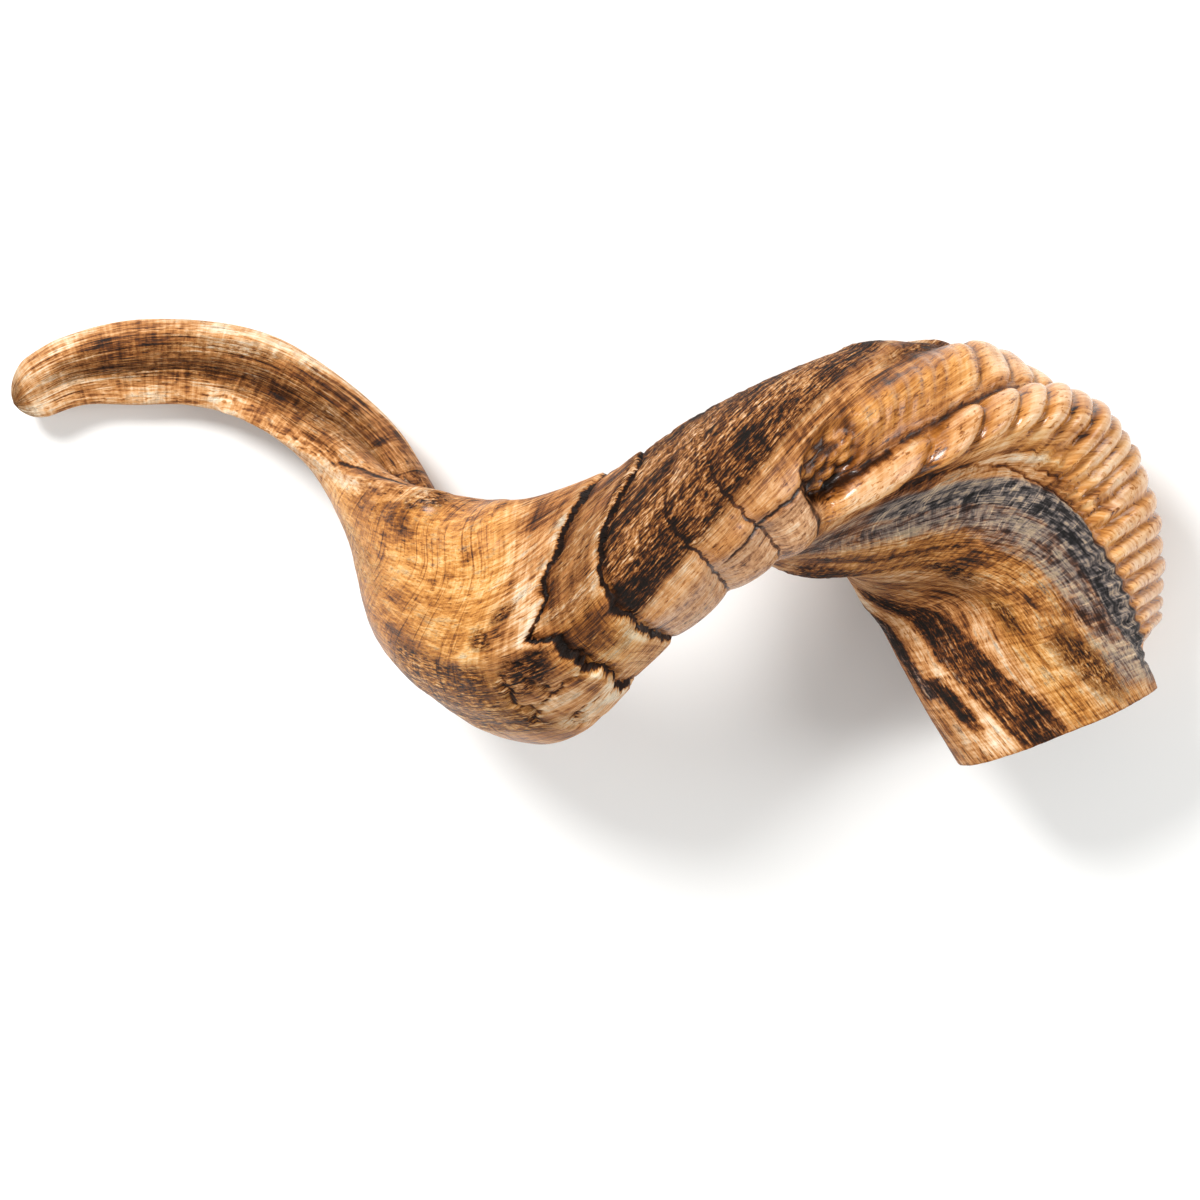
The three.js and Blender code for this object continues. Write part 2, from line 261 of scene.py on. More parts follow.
# grooves left by two bad seasons: along, seed and depth in mm
SCARS = {"near_scar": (141.8, 1, 1.1), "far_scar": (153.8, 2, 1.0)}
# the belly's cracks, as (rows, seed, depth in mm, half width of the dark line, darkness)
CRACKS_ACROSS = [
    ([(36, 195.5), (50, 194), (66, 195), (84, 193)], 9, 1.1, 0.6, 0.9),
    ([(4, 192), (20, 193), (36, 191)], 11, 0.9, 0.5, 0.8),
    ([(58, 188), (72, 190), (86, 186)], 12, 0.8, 0.5, 0.8)]
CRACKS_ALONG = [
    ([(182, 62), (188, 58), (196, 52)], 13, 1.0, 0.6, 0.8),
    ([(184, 92), (190, 88), (195, 84)], 14, 0.8, 0.6, 0.7),
    ([(186, 30), (193, 34)], 15, 0.8, 0.5, 0.7)]
# how far, in mm and in degrees, these cracks stray from a straight line, and half the notch's width in mm
JAG_ACROSS = 1.2
JAG_ALONG = 4
CRACK_HALF = 0.7
PIT_DEPTH = 3.6
# mm from the horn's middle to its skin, which turns degrees round the horn into mm
KEEL_RADIUS = 28
BELLY_RADIUS = 24
BLADE_RADIUS = 14


def rolled(along, across, fullness=2.2):
    """Room for a rounded lobe at a place from -1 to 1 along and across it."""
    return np.clip(1 - 0.93 * np.abs(along) ** fullness - np.abs(across) ** 3, 0, 1)


def knob_rolls(u, a):
    """Rounded knobs side by side on the keel, with deep grooves between."""
    passed = knobs_passed(u + 0.35 * wobble(a * 0.1, 30))
    along = 2 * (passed - np.floor(passed)) - 1
    inner = np.interp(u, *zip(*KNOB_INNER))
    outer = np.interp(u, *zip(*KNOB_OUTER))
    across = (2 * a - inner - outer) / (outer - inner)
    room = rolled(along, across)
    uneven = 1 + 0.1 * np.sin(2.4 * np.floor(passed))
    return np.interp(u, *zip(*KNOB_HEIGHT)) * np.sqrt(room) * uneven * ease(u, 8, 16)


def second_row(u, a):
    """Flatter lobes outside the keel crease in two rows; the nearer runs on as one ridge."""
    second = knobs_passed(u + 1.5 + 0.5 * wobble(a * 0.08, 33))
    room = rolled(2 * (second - np.floor(second)) - 1, (a - 39) / 18)
    lobes = 2.8 * np.sqrt(room) * ease(u, 20, 46) * (1 - ease(u, 86, 96))
    third = knobs_passed(u - 1.2 + 0.6 * wobble(a * 0.08, 34)) - 0.5
    room = rolled(2 * (third - np.floor(third)) - 1, (a - 73) / 15, 2.4)
    lobes += 1.7 * np.sqrt(room) * ease(u, 22, 48) * (1 - ease(u, 70, 84))
    ridge = 2.2 * hump(a, 40, 19) * ease(u, 82, 94) * (1 - ease(u, 114, 124))
    ripple = 0.35 * np.sin(u * 2.1 + 0.04 * a) * hump(a, 42, 18) * ease(u, 84, 94) * (1 - ease(u, 112, 122))
    return lobes + ridge + ripple


def crest_steps(u, a):
    """Low terraces where the growth rings cross the crest of the arch."""
    rings = knobs_passed(u - 0.12 * np.maximum(0, a - 40) + 0.8 * wobble(a * 0.09, 41)) * 0.75
    part = rings - np.floor(rings)
    step = part ** 1.5 * (1 - ease(part, 0.86, 1.0))
    furrow, span = from_line_along(u, a, [(44, 60), (70, 60), (92, 62), (112, 66)], 30, 1.5, 42)
    return hump(a, 90, 56) * 2.0 * step * (1 - ease(u, 96, 112)) - 1.1 * span * notch(furrow, 1.6)


def base_dip(u, a):
    """By the sawn base the keel draws in behind the corner of the inner face."""
    return -3.5 * (1 - ease(u, 9, 17)) * ease(a, -42, -27) * (1 - ease(a, 40, 85))


def inner_valley(u, a):
    """The grey valley beside the knobs, and the raised line that bounds it."""
    line = np.interp(u, [8, 20, 28, 41, 54, 61, 71, 80], [-52, -56, -61, -66, -67, -65, -57, -45])
    away = (a - line) * 0.5
    seen = ease(u, 2, 10) * (1 - ease(u, 76, 92))
    return seen * (0.9 * notch(away, 1.3) - 0.9 * hump(a, line + 12, 11))


def broken_pit(u, a):
    """1 inside the pit where the last knobs broke off, 0 outside it."""
    return 1 - ease(np.sqrt(((u - 121.5) / 8.5) ** 2 + ((a - 36) / 22) ** 2), 0.75, 1.05)


def ledge(u, deg, rows, jag, seed, height, gap):
    """The step where an older sheath ends over the younger one, with a gap under its edge."""
    past, span = from_line_across(u, deg, rows, jag, seed)
    a = turned_to(deg, 80)
    seen = span * (0.45 + 0.55 * hump(a, 75, 110))
    step = height * ease(past, -0.2, 0.5) * (1 - ease(past, 4, 22))
    return seen * (step - gap * notch(past + 0.35, 0.75))


def past_scar(u, a, at, seed):
    """How far along past a growth scar, in mm."""
    return u - at - 0.7 * wobble(a * 0.12, seed)


def growth_groove(u, a, at, seed, depth):
    """A scar's groove: a sharp notch in a shallow dip, deepest over the keel's side."""
    past = past_scar(u, a, at, seed)
    seen = 0.2 + 0.8 * hump(a, 62, 80)
    return -depth * seen * (notch(past, 0.9) + 0.35 * notch(past, 3))


def fold_waves(a):
    """The frill's long folds, as a wave about 7 degrees wide round the horn."""
    return np.cos((a + 23) * 0.9)


def frill(u, a):
    """Folds and a frill under the knobs, and the tongues that run from them to the base."""
    fold, span = from_line_along(u, a, FOLD_LINE, KEEL_RADIUS, 1.2, 5)
    height = span * (-1.5 * notch(fold, 1.1) + 0.8 * notch(fold + 3.2, 2.2) * ease(u, 58, 66))
    waves = 0.8 * np.sin(2 * np.pi * knobs_passed(u) * 1.5 + 0.12 * a) + 0.7 * fold_waves(a)
    height += waves * band(u, a, [(46, -30, -14), (60, -25, -12), (74, -18, -9)], 3)
    tongues = band(u, a, [(8, -50, -33), (46, -48, -33)], 3)
    return height + 0.5 * tongues * np.sin(2 * np.pi * knobs_passed(u))


def lumps(u, a):
    """Three swellings of the keel between the pit and the first ledge, and the crack across them."""
    height = -PIT_DEPTH * broken_pit(u, a)
    for at, half, swell in [(134.5, 8.5, 2.9), (147.5, 6.5, 2.5), (162, 9.5, 2.6)]:
        height += swell * np.sqrt(hump(u, at, half)) * hump(a, 18, 46)
    crack, span = from_line_along(u, a, LUMP_CRACK, BELLY_RADIUS, 1.6, 8)
    return height - 0.9 * span * notch(crack, 0.8)


def belly_plates(u, deg, a):
    """A plate that stands up past the second ledge, the hollow beyond it and the cracks round it."""
    height = 1.7 * hump(u, 190, 8) * hump(a, 28, 34) - 1.6 * hump(u, 201, 7) * hump(a, 26, 30)
    for rows, seed, depth, _, _ in CRACKS_ACROSS:
        past, span = from_line_across(u, deg, rows, JAG_ACROSS, seed)
        height -= depth * span * notch(past, CRACK_HALF)
    for rows, seed, depth, _, _ in CRACKS_ALONG:
        away, span = from_line_along(u, deg, rows, BELLY_RADIUS, JAG_ALONG, seed)
        height -= depth * span * notch(away, CRACK_HALF)
    return height


def blade_rims(u, deg, a):
    """The lip and the swollen back rim where the belly turns into the blade, and the blade's grooves."""
    lip, span = from_line_along(u, deg, LIP, BLADE_RADIUS, 0.9, 31)
    proud = 0.9 + 0.9 * hump(u, 246, 24)
    height = span * (proud * notch(lip, 1.3) - 1.3 * notch(lip - 2.6, 1.5))
    rim = turned_to(deg, 188)
    height += 2.6 * hump(u, 196, 24) * hump(rim, 176, 34)
    height += (2.4 * hump(u, 231, 16) + 0.7 * hump(u, 243, 5) - 0.5 * hump(u, 237, 4)) * hump(rim, 188, 19)
    blade = ease(u, 252, 285) * (1 - ease(u, 345, 362))
    for at, half, depth in [(-128, 7, 0.6), (-112, 5, 0.35), (-96, 6, 0.45), (-80, 5, 0.3), (-66, 7, 0.6)]:
        height -= blade * depth * hump(a, at + 3 * wobble(u * 0.05, at), half)
    return height


def relief_of(u, deg):
    """Height over the smooth sheath, in mm."""
    a = turned_to(deg, 0)
    height = knob_rolls(u, a) + second_row(u, a) + crest_steps(u, a) + base_dip(u, a) + inner_valley(u, a)
    crease, span = from_line_along(u, deg, KEEL_CREASE, KEEL_RADIUS, 1.0, 3)
    height -= 1.6 * span * notch(crease, 1.5) * ease(u, 55, 75)
    height += frill(u, a) + lumps(u, a) + belly_plates(u, deg, a) + blade_rims(u, deg, a)
    for scar in SCARS.values():
        height += growth_groove(u, a, *scar)
    for line in LEDGES.values():
        height += ledge(u, deg, *line)
    return height


# ---------------------------------------------------------------- where each look lies
# the groove look is painted shade, and the crack look holds painted shade in the creases besides the cracks
LOOKS = ["pale", "gold", "bark", "char", "grey", "pink", "gloss", "grid", "groove", "lines", "blade", "pit",
         "crack"]


def looks_of(u, deg):
    """For each tone of the horn, and for the painted shade in its grooves and creases, how much of it there
    is at a place, from 0 to 1.
    """
    a = turned_to(deg, 0)

    # painted shade: 1 in the grooves between the knobs, which are painted darker and amber
    def groove_shade_at(place):
        passed = knobs_passed(place)
        return 1 - ease(np.abs(passed - np.round(passed)), 0.03, 0.27)
    groove = groove_shade_at(u)
    on_keel = band(
        u, a, [(0, -36, 26), (45, -32, 26), (60, -20, 24), (66, -10, 21), (80, -7, 18), (124, 0, 16)], 3)
    folds = band(u, a, [(46, -33, -16), (60, -29, -13), (74, -20, -9), (86, -14, -7)], 3)
    looks = {}
    looks["pale"] = np.maximum.reduce([
        on_keel,
        0.7 * folds,
        band(u, a, [(10, 26, 58), (60, 26, 84), (76, 26, 60), (94, 26, 50)], 5),
        0.4 * band(u, a, [(128, -10, 44), (150, -12, 50), (171, -14, 52)], 6),
        0.35 * band(u, a, [(110, 40, 72), (128, 36, 70), (150, 40, 70), (171, 30, 62)], 5),
        0.9 * patch(u, deg, (190, 32), (5, 30)),
        1.3 * band(u, deg, [(184, 98, 112), (189, 96, 134), (192, 98, 130)], 3),
        1.2 * band(u, deg, [(228, 190, 203), (240, 186, 201), (252, 186, 199), (262, 172, 190)], 4),
        1.4 * patch(u, deg, (3, 200), (4, 8)),
        band(u, deg, [(3, 202, 208), (10, 199.5, 205), (22, 196, 201.5), (28, 191, 198), (40, 189, 196),
                      (57, 183, 193), (66, 177, 188), (84, 176, 188)], 1.5),
        0.6 * band(u, deg, [(262, 150, 196), (300, 168, 205), (330, 165, 215), (352, 160, 235),
                            (366, 150, 260)], 6),
        0.9 * band(u, deg, [(262, 330, 372), (300, 330, 372), (340, 325, 372), (366, 315, 372)], 6),
        0.9 * ease(u, 350, 362),
        0.25 * band(u, deg, [(0, 255, 300), (118, 258, 320)], 10),
    ])
    looks["gold"] = np.maximum.reduce([
        0.9 * band(u, deg, [(196, 20, 195), (215, 0, 195), (250, 0, 185), (262, -10, 180)], 10, 6),
        0.8 * band(u, deg, [(0, 240, 262), (45, 238, 262)], 5),
        0.5 * band(u, deg, [(0, 262, 300), (50, 262, 300), (110, 260, 320)], 8),
        # amber colour for the painted shade in the grooves between the knobs
        0.8 * on_keel * groove,
        0.6 * band(u, a, [(0, -36, -26), (45, -32, -24), (60, -22, -13), (75, -10, -4), (124, 0, 4)], 3),
        0.7 * broken_pit(u, a),
        0.6 * band(u, a, [(66, 22, 60), (90, 26, 60), (128, 24, 56)], 5),
        0.6 * band(u, a, [(171, 0, 92), (183, 0, 92)], 6),
        0.4 * patch(u, deg, (214, 150), (20, 50)),
    ])
    looks["bark"] = np.maximum.reduce([
        band(u, deg, [(96, 84, 150), (106, 74, 160), (130, 70, 165), (155, 66, 165), (170, 62, 165)], 6, 3),
        0.7 * band(u, deg, [(66, 92, 160), (98, 78, 165)], 10),
        0.45 * band(u, deg, [(10, 70, 170), (66, 76, 170)], 12),
        0.6 * patch(u, deg, (92, 66), (14, 12)),
        0.35 * band(u, a, [(171, 52, 160), (183, 60, 160)], 8),
        0.9 * patch(u, deg, (190, 78), (8, 16), -1.0),
        0.95 * patch(u, deg, (207, 50), (17, 24), 0.8),
        0.8 * band(u, a, [(197, 44, 92), (208, 50, 96), (219, 68, 100)], 7, 4),
        0.9 * patch(u, deg, (198.5, 108), (3.5, 6), 1.0),
        0.8 * patch(u, deg, (193.5, 118), (4, 5)),
        0.5 * patch(u, deg, (214, 22), (12, 26), 1.0),
        0.8 * patch(u, deg, (227, 193), (6, 9)),
        0.35 * band(u, deg, [(262, 212, 300), (285, 212, 324), (320, 214, 322), (345, 222, 316),
                             (358, 230, 300)], 10, 6),
        0.5 * ease(u, 362, 366),
        0.4 * band(u, deg, [(232, 10, 150), (258, 30, 150)], 14, 8),
        0.7 * band(u, deg, [(258, 70, 140), (330, 60, 120)], 16),
        0.8 * patch(u, deg, (15, 276), (13, 14), -0.5),
        0.7 * patch(u, deg, (37, 249), (8, 7)),
        0.6 * patch(u, deg, (62, 262), (12, 9), 0.6),
    ])
    looks["char"] = np.maximum.reduce([
        band(u, deg, [(0, 209, 238), (10, 207, 234), (20, 203, 226), (35, 199, 217), (50, 196, 209),
                      (66, 192, 202)], 4),
        0.9 * band(u, deg, [(8, 193, 201), (14, 191, 200), (23, 188, 197)], 2),
        0.8 * band(u, deg, [(18, 181, 189), (40, 180, 189), (58, 178, 184)], 2),
        0.8 * band(u, deg, [(98, 268, 279), (116, 268, 280)], 3),
        0.55 * band(u, deg, [(62, 262, 268), (90, 264, 276), (118, 262, 290)], 4),
        0.6 * band(u, deg, [(70, 284, 289), (96, 284, 290), (116, 292, 300)], 3),
        0.5 * band(u, deg, [(200, 205, 330), (240, 209, 330), (258, 226, 318)], 6, 6),
    ])
    looks["grey"] = np.maximum.reduce([
        band(u, a, [(4, -54, -37), (12, -54, -36), (45, -53, -35), (58, -47, -29), (75, -42, -26),
                    (92, -32, -16), (104, -26, -9)], 3, 6),
        0.62 * band(u, a, [(4, -70, -50), (45, -74, -50), (75, -62, -40), (104, -48, -24)], 8),
        0.4 * band(u, deg, [(30, 292, 299), (45, 286, 293), (58, 285, 292), (70, 292, 299)], 3),
        0.45 * band(u, a, [(84, -60, -16), (104, -56, -8), (130, -40, -8)], 8),
        0.4 * band(u, deg, [(18, 184, 189), (60, 178, 184)], 2),
    ])
    looks["pink"] = np.maximum.reduce([
        0.8 * band(u, a, [(126, 5, 40), (150, -5, 42), (171, -12, 45)], 6),
        0.6 * band(u, a, [(60, 24, 50), (84, 26, 50)], 5),
        0.5 * band(u, a, [(171, -5, 30), (183, -5, 30)], 5),
    ])
    looks["gloss"] = np.maximum.reduce([
        on_keel,
        0.8 * band(u, a, [(60, 18, 56), (126, 18, 54)], 5),
        0.8 * band(u, a, [(128, -10, 60), (171, -12, 60)], 6),
        0.4 * band(u, deg, [(200, 0, 195), (262, 0, 195)], 10),
    ])
    looks["grid"] = np.maximum.reduce([
        band(u, a, [(8, -56, -37), (45, -54, -34), (60, -48, -28), (76, -44, -27), (96, -34, -18)], 3),
        0.55 * band(u, deg, [(8, 250, 312), (60, 256, 312), (118, 262, 330)], 8),
    ])
    # painted shade: darker in the grooves between the knobs and lobes and in the valleys of the frill's folds
    looks["groove"] = np.maximum.reduce([
        0.75 * folds * (0.5 - 0.5 * fold_waves(a)),
        on_keel * groove, 0.9 * band(u, a, [(20, 26, 60), (92, 26, 56)], 5) * groove_shade_at(u + 1.5)])
    looks["lines"] = np.maximum.reduce([
        ease(u, 196, 206) * (1 - ease(u, 262, 275)),
        0.8 * band(u, a, [(171, 0, 92), (183, 0, 92)], 6),
        0.4 * band(u, deg, [(0, 210, 330), (120, 210, 330)], 10),
        0.12 * band(u, a, [(126, -10, 60), (171, -12, 60)], 8)])
    looks["blade"] = ease(u, 255, 275) * band(u, deg, [(240, 190, 345), (366, 195, 340)], 12, 8)
    looks["pit"] = broken_pit(u, a)
    looks["crack"] = cracks_and_painted_shade_of(u, deg, a, on_keel * groove)
    return looks


def cracks_and_painted_shade_of(u, deg, a, grooves):
    """Dark lines: the cracks, painted shade in the deep of each crease and between the knobs, and a painted
    shadow below the blade's lip.
    """
    across = [
        *((rows, JAG_ACROSS, seed, half, dark) for rows, seed, _, half, dark in CRACKS_ACROSS),
        ([(120, 219), (140, 218), (160, 220), (182, 217)], 0.5, 16, 0.5, 0.5),
        ([(-6, 126.8), (10, 128), (30, 129), (52, 128.4)], 0.4, 17, 1.1, 1.0)]
    along = [
        *((rows, BELLY_RADIUS, JAG_ALONG, seed, half, dark) for rows, seed, _, half, dark in CRACKS_ALONG),
        # painted shade in the keel's crease and the frill's fold, and a painted shadow below the lip
        (KEEL_CREASE[2:], KEEL_RADIUS, 1.0, 3, 1.7, 0.66),
        (FOLD_LINE[1:], KEEL_RADIUS, 1.2, 5, 0.8, 0.62),
        (LUMP_CRACK, BELLY_RADIUS, 1.6, 8, 0.8, 0.8),
        ([(at, angle + 10) for at, angle in LIP[:5]], BLADE_RADIUS, 0.9, 31, 0.8, 0.8),
        ([(262, 192), (290, 190), (318, 198)], 10, 1.0, 21, 0.35, 0.6)]
    # painted shade between the knobs
    darkest = 0.3 * grooves * ease(u, 60, 75)
    for rows, jag, seed, half, dark in across:
        past, span = from_line_across(u, deg, rows, jag, seed)
        darkest = np.maximum(darkest, dark * span * notch(past + 0.3, half))
    for rows, radius, jag, seed, half, dark in along:
        away, span = from_line_along(u, deg, rows, radius, jag, seed)
        darkest = np.maximum(darkest, dark * span * notch(away, half))
    return np.clip(darkest, 0, 1)


# for each long seam: how wide it gapes in mm, how dark it is, and how pale its edge, partly a flaking edge
# and partly painted highlight
SEAMS = {"first_ledge": (0.5, 0.95, 0.16), "second_ledge": (0.5, 0.95, 0.2), "near_scar": (0.5, 0.75, 0.05),
         "far_scar": (0.5, 0.75, 0.05)}
SEAM_REACH = 4


def seams_of(u, deg):
    """For each long seam: mm past it towards the tip, and how much of it shows there."""
    a = turned_to(deg, 0)
    seams = {name: from_line_across(u, deg, rows, jag, seed)
             for name, (rows, jag, seed, _, _) in LEDGES.items()}
    shown = ease(a, -4, 10) * (1 - ease(a, 84, 112))
    for name, (at, seed, _) in SCARS.items():
        seams[name] = past_scar(u, a, at, seed), shown
    return {name: np.stack([np.clip(past, -SEAM_REACH, SEAM_REACH), seen, np.zeros_like(past)], -1)
            for name, (past, seen) in seams.items()}


# ---------------------------------------------------------------- mesh of the sheath
# spans in mm or degrees and the step between lines in each
LINE_STEPS = [(0, 130, 0.6), (130, 215, 0.65), (215, HORN_LENGTH - 8, 0.82),
              (HORN_LENGTH - 8, HORN_LENGTH, 0.5)]
ANGLE_STEPS = [(-45, 60, 1.5), (60, 225, 2.2), (225, 315, 2.8)]
HOLLOW_RINGS = [0, 8, 16, 24, 31, 37, 41.5, 44.5]
HOLLOW_LOOKS = {"bark": 0.8, "grey": 0.5}
# the rod's radius along the horn, on which the surface's patterns are laid
GRAIN_RADIUS = [(0, 24), (200, 22), (260, 11), (366, 9)]
HOLLOW_GRAIN_RADIUS = 18


def stepped(spans):
    """Even steps of about the given size over each span, without the last end."""
    return np.concatenate([
        np.linspace(low, high, round((high - low) / step), endpoint=False) for low, high, step in spans])


def sheath_mesh():
    lines = np.append(stepped(LINE_STEPS), HORN_LENGTH)
    angles = stepped(ANGLE_STEPS)
    u, deg = np.meshgrid(lines, angles, indexing="ij")
    lean = around(LEAN_ANGLES, lean_at(u), deg)
    x = np.clip(np.where(u > STRAIGHT_FROM, u, u + lean), 0, HORN_LENGTH)
    centre, out, side, radii = section_at(x)
    into_end = np.maximum(0, x - HORN_LENGTH + END_ROUND) / (END_ROUND + 0.4)
    radius = (around(LANDMARKS, radii, deg) + relief_of(u, deg)) * np.sqrt(1 - into_end ** 2)
    outer = centre + aim(out, side, deg) * radius[..., None]

    depth, round_deg = np.meshgrid(np.array(HOLLOW_RINGS, float), angles, indexing="ij")
    h_centre, h_out, h_side, _ = section_at(depth)
    base = around(LANDMARKS, np.broadcast_to(STATIONS[0, 4:], depth.shape + (12,)), round_deg)
    shrink = np.sqrt(1 - (depth / HOLLOW_DEPTH) ** 2)
    inner = h_centre + aim(h_out, h_side, round_deg) * (HOLLOW_SHARE * base * shrink)[..., None]

    ends = np.array([station_at(HORN_LENGTH)[:3] + TIP_REACH, station_at(float(HOLLOW_DEPTH))[:3]])
    points = laid(np.concatenate([outer.reshape(-1, 3), inner.reshape(-1, 3), ends]))
    # worn flat where the horn lies on the table
    points[:, 2] = np.maximum(points[:, 2], WORN_FLAT * MM)

    count = len(angles)
    rings, inner_rings = len(lines), len(HOLLOW_RINGS)
    j = np.arange(count)
    k = (j + 1) % count

    def strip(a, b):
        return np.stack([a + j, a + k, b + k, b + j], -1)
    first_inner = rings * count
    quads = [strip(r * count, (r + 1) * count) for r in range(rings - 1)]
    quads.append(strip(first_inner, 0))
    quads += [strip(first_inner + (r + 1) * count, first_inner + r * count) for r in range(inner_rings - 1)]
    last = (rings - 1) * count
    last_inner = first_inner + (inner_rings - 1) * count
    tip = first_inner + inner_rings * count
    fans = [np.stack([last + j, last + k, np.full(count, tip)], -1),
            np.stack([last_inner + k, last_inner + j, np.full(count, tip + 1)], -1)]
    faces = np.concatenate(quads).tolist() + np.concatenate(fans).tolist()

    mesh = bpy.data.meshes.new("horn_sheath")
    mesh.from_pydata(points.tolist(), [], faces)
    mesh.polygons.foreach_set("use_smooth", [True] * len(mesh.polygons))

    def store(name, kind, field, outside, inside):
        """Keeps values of the outer grid, the hollow's grid and the two end points."""
        values = np.concatenate([
            outside.reshape(tip - inner_rings * count, -1), inside.reshape(inner_rings * count, -1),
            outside.reshape(rings * count, -1)[-1:], inside.reshape(inner_rings * count, -1)[-1:]])
        mesh.attributes.new(name, kind, "POINT").data.foreach_set(field, values.astype(np.float32).ravel())

    def grain_of(along, radius, turn):
        """A place in the grown horn unrolled to a straight rod, in mm."""
        return np.stack([along, radius * np.cos(np.radians(turn)), radius * np.sin(np.radians(turn))], -1)
    store("grain", "FLOAT_VECTOR", "vector", grain_of(u, np.interp(u, *zip(*GRAIN_RADIUS)), deg),
          grain_of(depth, HOLLOW_GRAIN_RADIUS, round_deg))
    for name, amount in looks_of(u, deg).items():
        store(name, "FLOAT", "value", amount, np.full(depth.shape, HOLLOW_LOOKS.get(name, 0.0)))
    for name, past in seams_of(u, deg).items():
        store(name, "FLOAT_VECTOR", "vector", past, np.zeros(depth.shape + (3,)))
    return mesh


# ---------------------------------------------------------------- nodes
# kinds of node with their settings
ADD, SUBTRACT, MULTIPLY, MULTIPLY_ADD, MAXIMUM, ABSOLUTE = (
    ("ShaderNodeMath", {"operation": name})
    for name in ("ADD", "SUBTRACT", "MULTIPLY", "MULTIPLY_ADD", "MAXIMUM", "ABSOLUTE"))
SMOOTH_STEP = ("ShaderNodeMapRange", {"interpolation_type": "SMOOTHSTEP"})
COLOUR_MIX = ("ShaderNodeMix", {"data_type": "RGBA"})
ROUND_CELLS = ("ShaderNodeTexVoronoi", {"feature": "F1"})
SQUARE_CELLS = ("ShaderNodeTexVoronoi", {"feature": "F1", "distance": "CHEBYCHEV"})


def add(tree, kind, *in_order, **by_name):
    """Adds a node with its settings, and sets or links its inputs: in order, by name, or in_6 by number."""
    kind, settings = (kind, {}) if isinstance(kind, str) else kind
    node = tree.nodes.new(kind)
    for name, value in settings.items():
        setattr(node, name, value)
    inputs = dict(enumerate(in_order))
    for name, value in by_name.items():
        inputs[int(name[3:]) if name.startswith("in_") else name.replace("_", " ")] = value
    for key, value in inputs.items():
        if isinstance(value, bpy.types.Node):
            value = value.outputs[0]
        if isinstance(value, bpy.types.NodeSocket):
            tree.links.new(value, node.inputs[key])
        else:
            node.inputs[key].default_value = value
    return node


def linear(code, alpha=1.0):
    """An sRGB hex colour as the linear values that sockets take."""
    parts = [int(code[i:i + 2], 16) / 255 for i in (1, 3, 5)]
    return [c / 12.92 if c <= 0.04045 else ((c + 0.055) / 1.055) ** 2.4 for c in parts] + [alpha]


def grain_at(tree, grain, along, across, shift=(0, 0, 0)):
    """Grain coordinates divided by a pattern's length along and across the horn, in mm."""
    return add(tree, ("ShaderNodeVectorMath", {"operation": "MULTIPLY_ADD"}), grain,
               (1 / along, 1 / across, 1 / across), shift)


# Patterns of the surface: mm along and across the horn, detail, roughness and where each starts.
PATTERNS = {
    # bundles of fibres, and single ones, which are 0.2 mm wide and drawn 0.5 mm wide so that they show
    "streaks": (20, 1.5, 4.0, 0.6, (0, 0, 0)),
    "fibres": (6, 0.5, 4.0, 0.65, (3, 1, 7)),
    # the horn grows about 1 mm in a week, and a season's growth differs from the next
    "rings": (1.1, 12, 3.0, 0.6, (11, 5, 2)),
    "broad": (28, 11, 2.0, 0.5, (6, 3, 11)),
    # stains, bark worn through in flecks, and the skin's own unevenness
    "clouds": (12, 8, 5.0, 0.62, (5, 9, 1)),
    "flecks": (1.6, 0.5, 3.0, 0.7, (17, 3, 8)),
    "mottle": (2.2, 2.2, 5.0, 0.7, (1, 13, 4)),
    # gaps between fibres and pores, 0.1 and 0.3 mm wide and drawn 0.34 and 0.75 mm wide so that they show
    "dashes": (2.6, 0.34, 1.0, 0.5, (2, 8, 15)),
    "pores": (1.5, 0.75, 2.0, 0.6, (9, 3, 5)),
    # dark growth lines, pale wrinkles across the grey band, and the blade's long lines
    "ring_marks": (0.8, 16, 3.0, 0.65, (4, 6, 19)),
    "wrinkles": (0.7, 9, 2.0, 0.6, (2, 4, 8)),
    "long_lights": (45, 0.6, 3.0, 0.6, (6, 12, 1)),
    "long_marks": (70, 0.75, 3.0, 0.6, (14, 2, 9)),
    # how seams stray, and where cracks gape
    "straying": (11, 5, 5.0, 0.64, (8, 1, 6)),
    "gaping": (5, 5, 2.0, 0.5, (9, 9, 2)),
}
# the parts of a pattern above a height, as marks with soft edges
MARKS = {"dashes": (0.63, 0.72), "pores": (0.57, 0.66), "ring_marks": (0.55, 0.66), "wrinkles": (0.56, 0.68),
         "long_lights": (0.55, 0.68), "long_marks": (0.53, 0.65), "gaping": (0.32, 0.56)}
# mm along and across: the pit's nodules and the grey band's squares
NODULE = (3.2, 3.2)
SQUARE = (1.9, 1.5)
# looks with broken edges: how far they spread, and the heights that start and end the edge
FRAYED = {"bark": (4.5, 0.15, 0.8), "char": (4.5, 0.25, 0.7), "grey": (4.0, 0.1, 0.8)}
# How light the surface is, from 0 to 1: what each look adds, and what each pattern adds where a look is.
BARE_TONE = 0.5
# the groove look is painted shade: darker in the grooves between the knobs and in the folds' valleys
LOOK_TONES = {"pale": 0.17, "gold": 0.04, "bark": -0.19, "char": -0.34, "grey": -0.11, "pit": -0.03,
              "groove": -0.28}
PATTERN_TONES = [
    ("streaks", 0.85, "calm"), ("clouds", 1.05, "calm"), ("broad", 0.7, "calm"), ("fibres", 1.0, "calm"),
    ("rings", 0.5, "calm"), ("flecks", 1.9, "bark"), ("flecks", 0.9, "char"), ("mottle", 0.7, "pit"),
    ("mottle", 0.8, "grey"), ("mottle", 1.1, "pink"), ("wrinkles", 0.2, "grey"), ("nodule_gaps", -0.3, "pit"),
    ("square_gaps", -0.2, "grid"), ("dashes", -0.22, "calm"), ("pores", -0.2, "gloss"),
    ("ring_marks", -0.2, "lines"), ("long_marks", -0.22, "blade"), ("long_lights", 0.22, "blade"),
    ("light_fibres", 0.14, "char")]
